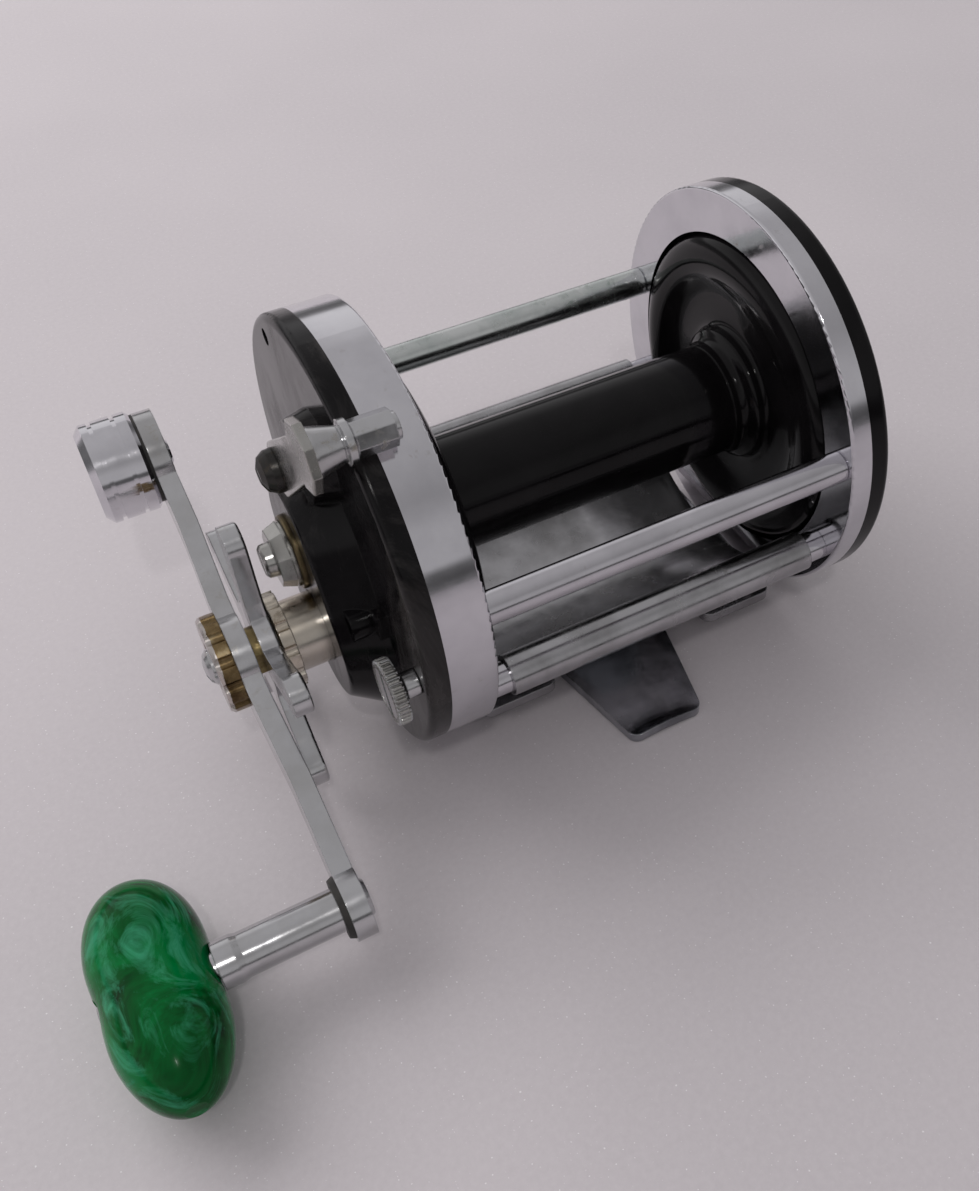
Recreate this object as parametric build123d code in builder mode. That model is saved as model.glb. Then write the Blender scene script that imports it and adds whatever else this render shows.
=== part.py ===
from build123d import *
from math import acos, asin, atan2, cos, degrees, exp, pi, radians, sin, sqrt, tan
import os

os.makedirs("parts", exist_ok=True)

# Conventional star-drag fishing reel, right-handed, in millimetres.
# X runs along the spool from the handle side (-X) to the tail side (+X), Z is up,
# and -Y is the side the line leaves. The reel stands on Z = 0; X = 0 is the middle
# of the frame, and Y = 0 is the plane through the spool and the reel foot.

# ---------------------------------------------------------------- driving sizes
# Frame: two rings, two pairs of pillars
ring_radius = 36.5
ring_bore_radius = ring_radius - 7.6
ring_band_wall = 1.6
ring_face_wall = 1.6
frame_length = 64.4              # between the rings' faces that look at the spool
handle_ring_width = 7.9
tail_ring_width = 3.7
pillar_diameter = 5.3
pillar_circle_radius = ring_radius - 3.8
upper_pillar_angle = 80.0        # from straight up, to the front and to the back
lower_pillar_angle = 115.0

# Side plates
handle_rim_width = 3.6
tail_rim_width = 3.8
plate_edge_bevel = 1.2
plate_wall = 2.0
skirt_radius = ring_bore_radius + 0.9
skirt_wall = 2.0
housing_height = 7.1             # gear housing above the handle plate's face
housing_spool_radius = 16.0      # at the plate's face, round the spool axis
housing_gear_radius = 17.2       # at the plate's face, round the crank axis
housing_draft = 33.0             # degrees, slope of the housing's sides
lever_boss_radius = 7.5
lever_boss_height = 3.9

# Spool
spool_flange_radius = ring_bore_radius - 0.5
spool_flange_width = 3.9
arbor_radius = 9.9
arbor_bead_radius = 12.8
shaft_radius = 2.4
pinion_seat_radius = 1.6         # thinner stretch of the shaft, inside the pinion

# Gears
gear_module = 0.6
pressure_angle = 25.0
pinion_teeth = 12
main_gear_teeth = 33
main_gear_width = 1.8
crank_axis_lean = 24.3           # degrees, crank axis in front of straight down
gear_backlash = 0.16
pinion_travel = 2.4              # out of the spool's tongue, for free spool

# Drag and crank
sleeve_radius = 4.0
sleeve_flat = 3.4                # from the axis to each flat
gear_post_radius = 2.6
drag_washer_radius = 9.0
drag_washer_thickness = 0.8
drag_washer_pairs = 3
collar_radius = 6.1
collar_flange_radius = 8.2
collar_flange_width = 2.1
collar_proud = 7.6               # from the housing's face to the flange's outer face
star_radius = 24.6
star_arm_count = 5
star_thickness = 3.0
star_angle = 157.0               # degrees from +Y, one arm of the star
arm_length = 44.4
counterweight_reach = 41.0
arm_angle = 199.9                # degrees from +Y, crank arm at rest
arm_thickness = 3.2
arm_plane = 13.6                 # from the housing's face to the middle of the arm
arm_width = 8.4
arm_eye_radius = 5.6
arm_hub_radius = 7.0
arm_disc_radius = 7.9
handle_nut_radius = 8.2
handle_nut_width = 3.0
counterweight_radius = 8.7
counterweight_length = 9.4
spindle_radius = 3.45
spindle_length = 19.6
knob_length = 38.2
knob_radius = 8.95
knob_waist_radius = 8.35

# Free-spool lever
lever_pivot_y = -2.7
lever_pivot_rise = 18.9          # above the spool axis
lever_knob_y = -0.567 * ring_radius
lever_knob_rise = 0.934 * ring_radius
lever_thickness = 1.4
lever_standoff = 1.6             # from the boss to the lever
lever_swing = 70.0               # degrees, towards the back
cam_radius = 5.6
cam_nose_reach = 4.5             # yoke's nose below the cam's axis
yoke_post_offset = 7.0
yoke_post_rise = 3.0

# Take-down screw
takedown_radius = ring_radius - 4.3
takedown_angle = 186.4           # degrees from +Y
takedown_head_radius = 5.2

# Reel stand and foot
stand_inner_radius = ring_radius - 5.5
stand_wall = 1.4
roll_wall = 0.8
stand_length = frame_length - 7.4
lug_center = frame_length / 2 - 9.4
lug_length = 14.6
lug_reach = 21.0
lug_slot_y = 15.5
lug_slot_length = 10.0
lug_slot_width = 4.4
foot_center_x = -2.2
foot_length = 74.0
foot_middle_width = 25.0
foot_tip_width = 13.8
foot_thickness = 1.8
foot_arch_radius = 38.0

# Click
click_wheel_teeth = 16
click_wheel_radius = 6.6
click_travel = 3.8
click_rest_rise = 17.0           # button's height above the spool axis, click off

# Fits and gaps
running_gap = 0.05               # radial, in each turning bearing
spool_gap = 0.8                  # spool flange to bridge and to the tail plate
slip_gap = 0.15                  # loose parts that slide on or turn beside another
seat_gap = 0.1                   # plates into rings

# ---------------------------------------------------------------- derived places
axis_z = ring_radius             # the rings touch the ground
ring_face_x = frame_length / 2
handle_ring_edge = -ring_face_x - handle_ring_width
handle_face = handle_ring_edge - handle_rim_width
housing_face = handle_face - housing_height
tail_ring_edge = ring_face_x + tail_ring_width
tail_face = tail_ring_edge + tail_rim_width
plate_register_radius = ring_radius - ring_band_wall - seat_gap

center_distance = gear_module * (pinion_teeth + main_gear_teeth) / 2
crank_y = -center_distance * sin(radians(crank_axis_lean))
crank_z = axis_z - center_distance * cos(radians(crank_axis_lean))
lever_pivot_z = axis_z + lever_pivot_rise
lever_knob_z = axis_z + lever_knob_rise
takedown_y = takedown_radius * cos(radians(takedown_angle))
takedown_z = axis_z + takedown_radius * sin(radians(takedown_angle))

spool_handle_end = -ring_face_x - 1.1
spool_tail_end = ring_face_x + 3.0
bridge_inner = spool_handle_end - spool_gap
bridge_thickness = 1.5
bridge_outer = bridge_inner - bridge_thickness
ratchet_width = 0.9
ratchet_inner = bridge_outer - 0.2
ratchet_outer = ratchet_inner - ratchet_width
main_gear_inner = ratchet_outer - 0.2
main_gear_outer = main_gear_inner - main_gear_width
drag_stack_outer = main_gear_outer - 2 * drag_washer_pairs * drag_washer_thickness
pinion_inner = bridge_inner - 0.1
pinion_teeth_outer = main_gear_outer - 2.3
pinion_neck_width = 1.4
pinion_neck_outer = pinion_teeth_outer - pinion_neck_width
pinion_head_outer = pinion_neck_outer - 1.2
collar_flange_outer = housing_face - collar_proud
collar_flange_inner = collar_flange_outer + collar_flange_width
arm_inner = housing_face - arm_plane + arm_thickness / 2
arm_outer = arm_inner - arm_thickness
nut_outer = arm_outer - handle_nut_width
star_mid = (collar_flange_outer + arm_inner) / 2 + 0.3
pillars = {
    "front_upper_pillar": -upper_pillar_angle,
    "rear_upper_pillar": upper_pillar_angle,
    "front_lower_pillar": -lower_pillar_angle,
    "rear_lower_pillar": lower_pillar_angle,
}


# ---------------------------------------------------------------- helpers
def across(x, y=0.0, z=axis_z):
    """Plane square to the spool axis: its own x is +Y, its own y is +Z, and it faces +X."""
    return Plane(origin=(x, y, z), x_dir=(0, 1, 0), z_dir=(1, 0, 0))


def along_x(y=0.0, z=axis_z):
    return Axis((0, y, z), (1, 0, 0))


def turn(points, y=0.0, z=axis_z, mode=Mode.ADD):
    """Revolve a closed outline of (x, radius) points about the X line through (y, z)."""
    with BuildSketch(Plane(origin=(0, y, z), x_dir=(1, 0, 0), z_dir=(0, -1, 0))) as outline:
        with BuildLine():
            Polyline(*points, close=True)
        make_face()
    revolve(outline.sketch, axis=along_x(y, z), mode=mode)


def rod(x_from, x_to, radius, y=0.0, z=axis_z, mode=Mode.ADD):
    """Round bar along X."""
    with BuildSketch(across(min(x_from, x_to), y, z)) as disc:
        Circle(radius)
    extrude(disc.sketch, amount=abs(x_to - x_from), mode=mode)


def polar(radius, angle):
    """(y, z) at an angle measured from +Y, about the spool axis."""
    return radius * cos(radians(angle)), axis_z + radius * sin(radians(angle))


def pillar_center(angle_from_up):
    """(y, z) of a pillar, its angle measured from straight up, positive to the back."""
    return polar(pillar_circle_radius, 90 - angle_from_up)


def gear_outline(teeth, addendum, dedendum, phase):
    """Closed point list of an involute gear, with a tooth's middle at the phase angle."""
    pitch_r = gear_module * teeth / 2
    base_r = pitch_r * cos(radians(pressure_angle))
    tip_r = pitch_r + addendum
    root_r = pitch_r - dedendum
    flank_steps = 4
    half_pitch_tooth = pi / (2 * teeth) - gear_backlash / (4 * pitch_r)
    involute_at_pitch = tan(radians(pressure_angle)) - radians(pressure_angle)

    def half_angle(radius):
        if radius <= base_r:
            return half_pitch_tooth + involute_at_pitch
        roll = acos(base_r / radius)
        return half_pitch_tooth + involute_at_pitch - (tan(roll) - roll)

    first_r = max(base_r, root_r)
    radii = [first_r + (tip_r - first_r) * i / flank_steps for i in range(flank_steps + 1)]
    if root_r < base_r:
        radii = [root_r] + radii
    points = []
    for tooth in range(teeth):
        middle = radians(phase) + 2 * pi * tooth / teeth
        rising = [(r, middle - half_angle(r)) for r in radii]
        falling = [(r, middle + half_angle(r)) for r in reversed(radii)]
        points += [(r * cos(a), r * sin(a)) for r, a in rising + falling]
    return points


def ratchet_outline(teeth, tip_r, root_r, phase=0.0):
    """Saw-toothed wheel outline: each tooth rises slowly and drops along a radius."""
    points = []
    for tooth in range(teeth):
        start = radians(phase) + 2 * pi * tooth / teeth
        drop = start + 2 * pi / teeth * 0.92
        points += [(root_r * cos(start), root_r * sin(start)), (tip_r * cos(drop), tip_r * sin(drop))]
    return points


def knurled_outline(ridges, tip_r, root_r):
    """Round outline with V-shaped ridges."""
    points = []
    for i in range(2 * ridges):
        r = tip_r if i % 2 else root_r
        a = pi * i / ridges
        points.append((r * cos(a), r * sin(a)))
    return points


def prism(plane, points, depth, mode=Mode.ADD):
    """Straight-sided solid from a closed point list on a plane."""
    with BuildSketch(plane) as outline:
        with BuildLine():
            Polyline(*points, close=True)
        make_face()
    extrude(outline.sketch, amount=depth, mode=mode)


def save(part, name):
    part.label = name
    export_step(part, f"parts/{name}.step")


# ---------------------------------------------------------------- frame rings
def build_ring(name, face_x, edge_x):
    """Chromed L-section ring: a flat annulus towards the spool and a band round it."""
    inward = 1 if edge_x > face_x else -1
    back_x = face_x + inward * ring_face_wall
    with BuildPart() as ring:
        turn([(face_x, ring_bore_radius), (face_x, ring_radius), (edge_x, ring_radius),
              (edge_x, ring_radius - ring_band_wall), (back_x, ring_radius - ring_band_wall),
              (back_x, ring_bore_radius)])
        rim = ring.edges().filter_by(GeomType.CIRCLE).group_by(SortBy.RADIUS)[-1]
        fillet(rim.sort_by(Axis.X)[-1 if inward < 0 else 0], 0.5)
        for angle in pillars.values():
            y, z = pillar_center(angle)
            rod(face_x, back_x, pillar_screw_radius + slip_gap, y, z, Mode.SUBTRACT)
        if inward < 0:
            rod(face_x, back_x, takedown_bush_radius, takedown_y, takedown_z, Mode.SUBTRACT)
    save(ring.part, name)


pillar_screw_radius = 1.25
pillar_screw_depth = 6.0
takedown_bush_radius = 2.2
takedown_thread_radius = 1.5
build_ring("handle_side_ring", -ring_face_x, handle_ring_edge)
build_ring("tail_side_ring", ring_face_x, tail_ring_edge)


# ---------------------------------------------------------------- pillars and their screws
for pillar_name, angle in pillars.items():
    y, z = pillar_center(angle)
    with BuildPart() as pillar:
        rod(-ring_face_x, ring_face_x, pillar_diameter / 2, y, z)
        for end in (-ring_face_x, ring_face_x):
            inner = end - pillar_screw_depth * (1 if end > 0 else -1)
            rod(end, inner, pillar_screw_radius, y, z, Mode.SUBTRACT)
        if "upper" in pillar_name:
            chamfer(pillar.edges().filter_by(GeomType.CIRCLE).group_by(SortBy.RADIUS)[-1], 0.2)
    save(pillar.part, pillar_name)

pan_head_radius = 2.0
pan_head_height = 1.3
screw_slot_width = 0.7
screw_slot_depth = 0.6
ring_back = -ring_face_x - ring_face_wall
with BuildPart() as ring_screws:
    for angle in pillars.values():
        y, z = pillar_center(angle)
        turn([(ring_back - pan_head_height, 0), (ring_back - pan_head_height, pan_head_radius - 0.5),
              (ring_back - pan_head_height + 0.5, pan_head_radius), (ring_back, pan_head_radius),
              (ring_back, pillar_screw_radius), (-ring_face_x + pillar_screw_depth - 1, pillar_screw_radius),
              (-ring_face_x + pillar_screw_depth - 1, 0)], y, z)
        with BuildSketch(across(ring_back - pan_head_height, y, z)):
            Rectangle(2 * pan_head_radius + 1, screw_slot_width)
        extrude(amount=screw_slot_depth, mode=Mode.SUBTRACT)
save(ring_screws.part, "handle_ring_screws")

# The tail plate's screws pass through plate and ring into the pillars.
countersunk_radius = 2.6
countersunk_height = 1.5
screw_tip = ring_face_x - pillar_screw_depth + 1
with BuildPart() as tail_screws:
    for angle in pillars.values():
        y, z = pillar_center(angle)
        turn([(tail_face, 0), (tail_face, countersunk_radius - 0.05),
              (tail_face - countersunk_height, pillar_screw_radius), (screw_tip, pillar_screw_radius),
              (screw_tip, 0)], y, z)
        with BuildSketch(across(tail_face, y, z)):
            Rectangle(2 * countersunk_radius + 1, screw_slot_width)
        extrude(amount=-screw_slot_depth, mode=Mode.SUBTRACT)
save(tail_screws.part, "tail_plate_screws")


# ---------------------------------------------------------------- handle side plate
housing_wall = 1.8
pocket_roof = housing_face + housing_wall
cap_thread_radius = 4.6
collar_hole_radius = collar_radius + slip_gap
lever_shaft_radius = 2.4
boss_face = handle_face - lever_boss_height
bridge_screw_angles = (40, 140, 195, 320)
bridge_screw_circle = 23.0
bridge_boss_radius = 2.8
bridge_screw_radius = 1.0
plate_floor = handle_ring_edge - 1.1
ring_boss_y = -16.8
ring_boss_z = axis_z - 3.3
ring_screw_clearance = 0.5


def housing_hull(plane, spool_r, gear_r):
    with BuildSketch(plane) as hull:
        Circle(spool_r)
        with Locations((crank_y, crank_z - axis_z)):
            Circle(gear_r)
        make_hull()
    return hull.sketch


with BuildPart() as handle_plate:
    # Rim disc, register inside the ring's band, and the skirt that seats on the ring's face
    skirt_end = ring_back - slip_gap
    turn([(handle_face, 0), (handle_face, ring_radius), (handle_ring_edge, ring_radius),
          (handle_ring_edge, plate_register_radius), (handle_ring_edge + 1.4, plate_register_radius),
          (handle_ring_edge + 1.4, skirt_radius), (skirt_end, skirt_radius),
          (skirt_end, skirt_radius - skirt_wall), (plate_floor, skirt_radius - skirt_wall),
          (plate_floor, 0)])
    rim = handle_plate.edges().filter_by(GeomType.CIRCLE).group_by(Axis.X)[0].sort_by(SortBy.RADIUS)[-1]
    fillet(rim, plate_edge_bevel)
    # Gear housing and the lower boss that carries the free-spool lever
    extrude(housing_hull(across(handle_face), housing_spool_radius, housing_gear_radius),
            amount=-housing_height, taper=housing_draft)
    fillet(handle_plate.edges().group_by(Axis.X)[0], 1.0)
    with BuildSketch(across(handle_face, lever_pivot_y, lever_pivot_z)):
        Circle(lever_boss_radius)
    extrude(amount=-lever_boss_height, taper=12)
    # Small ringed boss and square pad in front of the housing
    rod(handle_face, handle_face - 5.0, 2.6, ring_boss_y, ring_boss_z)
    with BuildSketch(across(handle_face, ring_boss_y - 4.4, ring_boss_z + 2.6)):
        Rectangle(2.4, 4.6)
    extrude(amount=-1.8)
    # Bosses for the bridge screws
    for angle in bridge_screw_angles:
        y, z = polar(bridge_screw_circle, angle)
        rod(plate_floor, bridge_outer, bridge_boss_radius, y, z)
    # Pocket for the gears, the yoke and the cam
    wall_run = housing_wall / cos(radians(housing_draft))
    extrude(housing_hull(across(plate_floor), housing_spool_radius - wall_run,
                         housing_gear_radius - wall_run),
            amount=handle_face - plate_floor, mode=Mode.SUBTRACT)
    extrude(housing_hull(across(handle_face), housing_spool_radius - wall_run,
                         housing_gear_radius - wall_run),
            amount=-(housing_height - housing_wall), taper=housing_draft, mode=Mode.SUBTRACT)
    rod(plate_floor, boss_face + housing_wall, cam_radius + 0.5, lever_pivot_y, lever_pivot_z, Mode.SUBTRACT)
    with BuildSketch(across(plate_floor, lever_pivot_y, lever_pivot_z - cam_nose_reach - 2)):
        Rectangle(4.6, 8)
    extrude(amount=-(plate_floor - boss_face - housing_wall), mode=Mode.SUBTRACT)
    # Bores: spool bearing cap, drag collar, lever shaft, take-down screw, bridge screws
    rod(housing_face - 1, pocket_roof + 1, cap_thread_radius, mode=Mode.SUBTRACT)
    rod(housing_face - 1, pocket_roof + 1, collar_hole_radius, crank_y, crank_z, Mode.SUBTRACT)
    rod(boss_face - 1, boss_face + housing_wall + 1, lever_shaft_radius + running_gap,
        lever_pivot_y, lever_pivot_z, Mode.SUBTRACT)
    rod(handle_face - 1, handle_ring_edge + 2, takedown_thread_radius + slip_gap,
        takedown_y, takedown_z, Mode.SUBTRACT)
    for angle in bridge_screw_angles:
        y, z = polar(bridge_screw_circle, angle)
        rod(bridge_outer, bridge_outer - 5.0, bridge_screw_radius, y, z, Mode.SUBTRACT)
    rod(handle_face - 5.0, handle_face - 4.2, 1.5, ring_boss_y, ring_boss_z, Mode.SUBTRACT)
    # Small dimple of the unused screw place near the rim
    dimple_y, dimple_z = polar(33.0, 58)
    rod(handle_face - 1, handle_face + 0.9, 1.4, dimple_y, dimple_z, Mode.SUBTRACT)
save(handle_plate.part, "handle_side_plate")

# ---------------------------------------------------------------- tail side plate
tail_boss_radius = 7.5
tail_boss_height = 2.4
tail_cap_thread_radius = 6.0
tail_cap_face = tail_face + tail_boss_height
tail_pocket_radius = spool_flange_radius + 0.4
tail_pocket_floor = tail_face - plate_wall
click_stem_radius = 1.5
with BuildPart() as tail_plate:
    turn([(tail_ring_edge - 1.5, tail_pocket_radius), (tail_ring_edge - 1.5, plate_register_radius),
          (tail_ring_edge, plate_register_radius), (tail_ring_edge, ring_radius),
          (tail_face, ring_radius), (tail_face, tail_boss_radius + 1.0), (tail_cap_face, tail_boss_radius),
          (tail_cap_face, tail_cap_thread_radius), (tail_pocket_floor, tail_cap_thread_radius),
          (tail_pocket_floor, tail_pocket_radius)])
    rim = tail_plate.edges().filter_by(GeomType.CIRCLE).group_by(SortBy.RADIUS)[-1].sort_by(Axis.X)[-1]
    fillet(rim, plate_edge_bevel)
    # Shallow turned recess of the outer face, round the boss
    turn([(tail_face + 1, 13.0), (tail_face + 1, 27.0), (tail_face - 0.6, 26.4), (tail_face - 0.6, 13.6)],
         mode=Mode.SUBTRACT)
    for angle in pillars.values():
        y, z = pillar_center(angle)
        turn([(tail_face + 0.01, 0), (tail_face + 0.01, countersunk_radius),
              (tail_face - countersunk_height, pillar_screw_radius + slip_gap),
              (tail_ring_edge - 2, pillar_screw_radius + slip_gap), (tail_ring_edge - 2, 0)],
             y, z, Mode.SUBTRACT)
    with BuildSketch(across(tail_pocket_floor - 1, 0, axis_z + click_rest_rise - click_travel / 2)):
        SlotCenterToCenter(click_travel, 2 * (click_stem_radius + slip_gap), rotation=90)
    extrude(amount=plate_wall + 2, mode=Mode.SUBTRACT)
save(tail_plate.part, "tail_side_plate")


# ---------------------------------------------------------------- reel stand, foot, rivets
lug_top = axis_z - stand_inner_radius - stand_wall + 0.4
lug_bottom = lug_top - 2.0
rivet_radius = 1.5
rivet_xs = (foot_center_x - 6.0, foot_center_x + 6.0)
with BuildPart() as stand:
    # Trough round the underside of the spool, from one lower pillar to the other
    half_arc = 180 - lower_pillar_angle
    with BuildSketch(across(-stand_length / 2)) as trough:
        with BuildLine():
            outer_r = stand_inner_radius + stand_wall
            outer = CenterArc((0, 0), outer_r, -90 - half_arc, 2 * half_arc)
            inner = CenterArc((0, 0), stand_inner_radius, -90 - half_arc, 2 * half_arc)
            Line(outer @ 0, inner @ 0)
            Line(outer @ 1, inner @ 1)
        make_face()
    extrude(amount=stand_length)
    # Flat cross plates with slotted ears for the rod clamp
    for side in (-1, 1):
        with BuildSketch(Plane.XY.offset(lug_bottom)):
            with Locations((side * lug_center, 0)):
                RectangleRounded(lug_length, 2 * lug_reach, 2.0)
        extrude(amount=lug_top - lug_bottom)
        with BuildSketch(Plane.XY.offset(lug_bottom)):
            with Locations((side * lug_center, lug_slot_y), (side * lug_center, -lug_slot_y)):
                SlotOverall(lug_slot_length, lug_slot_width)
        extrude(amount=lug_top - lug_bottom, mode=Mode.SUBTRACT)
    # The edges are rolled round the lower pillars, and the rivets pass through the middle
    for angle in (lower_pillar_angle, -lower_pillar_angle):
        y, z = pillar_center(angle)
        rod(-stand_length / 2, stand_length / 2, pillar_diameter / 2 + roll_wall, y, z)
    for angle in (lower_pillar_angle, -lower_pillar_angle):
        y, z = pillar_center(angle)
        rod(-ring_face_x, ring_face_x, pillar_diameter / 2, y, z, Mode.SUBTRACT)
    with BuildSketch(Plane.XY):
        with Locations([(x, 0) for x in rivet_xs]):
            Circle(rivet_radius)
    extrude(amount=axis_z / 2, mode=Mode.SUBTRACT)
save(stand.part, "reel_stand")

foot_top = axis_z - stand_inner_radius - stand_wall
foot_arch_drop = foot_arch_radius - sqrt(foot_arch_radius ** 2 - (foot_tip_width / 2) ** 2)
foot_droop = foot_top - foot_thickness - foot_arch_drop - 0.08
foot_bend_radius = (foot_length / 2) ** 2 / (2 * foot_droop)
with BuildPart() as foot:
    # Arched strip bent gently downwards to both ends
    arch_half = degrees(asin(foot_middle_width / 2 / foot_arch_radius)) + 2
    bend = degrees(asin(foot_length / 2 / foot_bend_radius)) + 1
    bend_center_z = foot_top - foot_bend_radius
    start = Vector(0, sin(radians(bend)), cos(radians(bend)))
    with BuildSketch(Plane(origin=Vector(foot_center_x, 0, bend_center_z) + start * foot_bend_radius,
                           x_dir=(1, 0, 0), z_dir=(0, -start.Z, start.Y))) as arch:
        with BuildLine():
            top = CenterArc((0, -foot_arch_radius), foot_arch_radius, 90 - arch_half, 2 * arch_half)
            under = CenterArc((0, -foot_arch_radius), foot_arch_radius - foot_thickness,
                              90 - arch_half, 2 * arch_half)
            Line(top @ 0, under @ 0)
            Line(top @ 1, under @ 1)
        make_face()
    revolve(axis=Axis((0, 0, bend_center_z), (1, 0, 0)), revolution_arc=2 * bend)
    # Trim to the foot's outline: straight in the middle, tapering to rounded tips
    half_l = foot_length / 2
    half_m = foot_middle_width / 2
    half_t = foot_tip_width / 2
    with BuildSketch(Plane(origin=(foot_center_x, 0, -10))) as blade:
        with BuildLine():
            Polyline((-half_m, -9), (-half_t, -half_l), (half_t, -half_l), (half_m, -9),
                     (half_m, 9), (half_t, half_l), (-half_t, half_l), (-half_m, 9), close=True)
        make_face()
        fillet(blade.vertices().group_by(Axis.Y)[0] + blade.vertices().group_by(Axis.Y)[-1], 2.2)
    extrude(amount=30, mode=Mode.INTERSECT)
    with BuildSketch(Plane.XY):
        with Locations([(x, 0) for x in rivet_xs]):
            Circle(rivet_radius)
    extrude(amount=axis_z / 2, mode=Mode.SUBTRACT)
save(foot.part, "reel_foot")


# Rivets that hold the foot under the stand
rivet_head_radius = 2.5
with BuildPart() as rivets:
    for x in rivet_xs:
        head_seat = axis_z - stand_inner_radius + 0.13
        arch_drop = foot_arch_radius - sqrt(foot_arch_radius ** 2 - (abs(x - foot_center_x) + 2.5) ** 2)
        under = foot_top - foot_thickness - arch_drop
        with BuildSketch(Plane(origin=(x, 0, 0), x_dir=(1, 0, 0), z_dir=(0, -1, 0))) as half:
            with BuildLine():
                Polyline((0, under - 0.7), (1.6, under - 0.7), (rivet_head_radius, under),
                         (rivet_radius, under), (rivet_radius, head_seat), (rivet_head_radius, head_seat),
                         (rivet_head_radius - 0.8, head_seat + 0.8), (0, head_seat + 0.8), close=True)
            make_face()
        revolve(axis=Axis((x, 0, 0), (0, 0, 1)))
save(rivets.part, "foot_rivets")


# ---------------------------------------------------------------- bridge plate and gear post
bridge_radius = skirt_radius - skirt_wall - 0.5
yoke_post_radius = 1.0
bridge_screw_head_radius = 1.9
dog_pivot_reach = 12.6           # from the crank axis
dog_pivot_angle = -20.0          # degrees from +Y, seen from the crank axis
dog_nose_angle = -62.0
dog_pin_radius = 1.0
dog_thickness = 0.9
dog_y = crank_y + dog_pivot_reach * cos(radians(dog_pivot_angle))
dog_z = crank_z + dog_pivot_reach * sin(radians(dog_pivot_angle))
with BuildPart() as bridge:
    rod(bridge_inner, bridge_outer, bridge_radius)
    for side in (-1, 1):
        rod(bridge_outer + 0.5, pocket_roof + 0.2, yoke_post_radius,
            side * yoke_post_offset, axis_z + yoke_post_rise)
    rod(bridge_inner, bridge_outer, gear_module * pinion_teeth / 2 + 1.0, mode=Mode.SUBTRACT)
    rod(bridge_inner, bridge_outer, gear_post_radius, crank_y, crank_z, Mode.SUBTRACT)
    rod(bridge_inner, bridge_outer, dog_pin_radius, dog_y, dog_z, Mode.SUBTRACT)
    for angle in bridge_screw_angles:
        y, z = polar(bridge_screw_circle, angle)
        turn([(bridge_inner + 0.01, 0), (bridge_inner + 0.01, bridge_screw_head_radius),
              (bridge_inner - 1.0, bridge_screw_radius + 0.1), (bridge_outer, bridge_screw_radius + 0.1),
              (bridge_outer, 0)], y, z, Mode.SUBTRACT)
save(bridge.part, "bridge_plate")

with BuildPart() as bridge_screws:
    for angle in bridge_screw_angles:
        y, z = polar(bridge_screw_circle, angle)
        turn([(bridge_inner, 0), (bridge_inner, bridge_screw_head_radius - 0.05),
              (bridge_inner - 1.0, bridge_screw_radius), (bridge_outer - 4.5, bridge_screw_radius),
              (bridge_outer - 4.5, 0)], y, z)
        with BuildSketch(across(bridge_inner, y, z)):
            Rectangle(2 * bridge_screw_head_radius, 0.5)
        extrude(amount=-0.4, mode=Mode.SUBTRACT)
save(bridge_screws.part, "bridge_screws")

gear_post_end = arm_inner + 0.6
with BuildPart() as gear_post:
    rod(bridge_inner, gear_post_end, gear_post_radius, crank_y, crank_z)
    chamfer(gear_post.edges().filter_by(GeomType.CIRCLE).sort_by(Axis.X)[0], 0.4)
save(gear_post.part, "gear_post")

with BuildPart() as dog_screw:
    turn([(bridge_inner, 0), (bridge_inner, dog_pin_radius), (ratchet_outer - 0.15, dog_pin_radius),
          (ratchet_outer - 0.15, 1.7), (ratchet_outer - 0.65, 1.7), (ratchet_outer - 0.95, 1.3),
          (ratchet_outer - 0.95, 0)], dog_y, dog_z)
save(dog_screw.part, "dog_screw")

# ---------------------------------------------------------------- anti-reverse ratchet and dog
ratchet_tip_radius = 8.5
ratchet_root_radius = 7.4
ratchet_teeth = 16
keyed_radius = sleeve_radius + running_gap
keyed_flat = sleeve_flat + running_gap


def keyed_bore(x_from, x_to):
    """Cut a round hole with two flats that fits over the sleeve."""
    with BuildSketch(across(min(x_from, x_to), crank_y, crank_z)) as hole:
        Circle(keyed_radius)
        Rectangle(2 * keyed_flat, 3 * keyed_radius, mode=Mode.INTERSECT)
    extrude(hole.sketch, amount=abs(x_to - x_from), mode=Mode.SUBTRACT)


with BuildPart() as ratchet:
    prism(across(ratchet_outer, crank_y, crank_z),
          ratchet_outline(ratchet_teeth, ratchet_tip_radius, ratchet_root_radius), ratchet_width)
    keyed_bore(ratchet_outer, ratchet_inner)
save(ratchet.part, "anti_reverse_ratchet")

dog_nose_radius = 0.55
dog_nose_reach = ratchet_tip_radius + 0.12 + dog_nose_radius
with BuildPart() as dog:
    dog_inner = bridge_outer - 0.2
    with BuildSketch(across(dog_inner - dog_thickness, crank_y, crank_z)) as outline:
        pivot = (dog_pivot_reach * cos(radians(dog_pivot_angle)), dog_pivot_reach * sin(radians(dog_pivot_angle)))
        nose = (dog_nose_reach * cos(radians(dog_nose_angle)), dog_nose_reach * sin(radians(dog_nose_angle)))
        with Locations(pivot):
            Circle(1.9)
        with Locations(nose):
            Circle(dog_nose_radius)
        make_hull()
        Circle(ratchet_tip_radius + 0.12, mode=Mode.SUBTRACT)
        with Locations(pivot):
            Circle(dog_pin_radius + running_gap, mode=Mode.SUBTRACT)
    extrude(amount=dog_thickness)
save(dog.part, "anti_reverse_dog")

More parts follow.
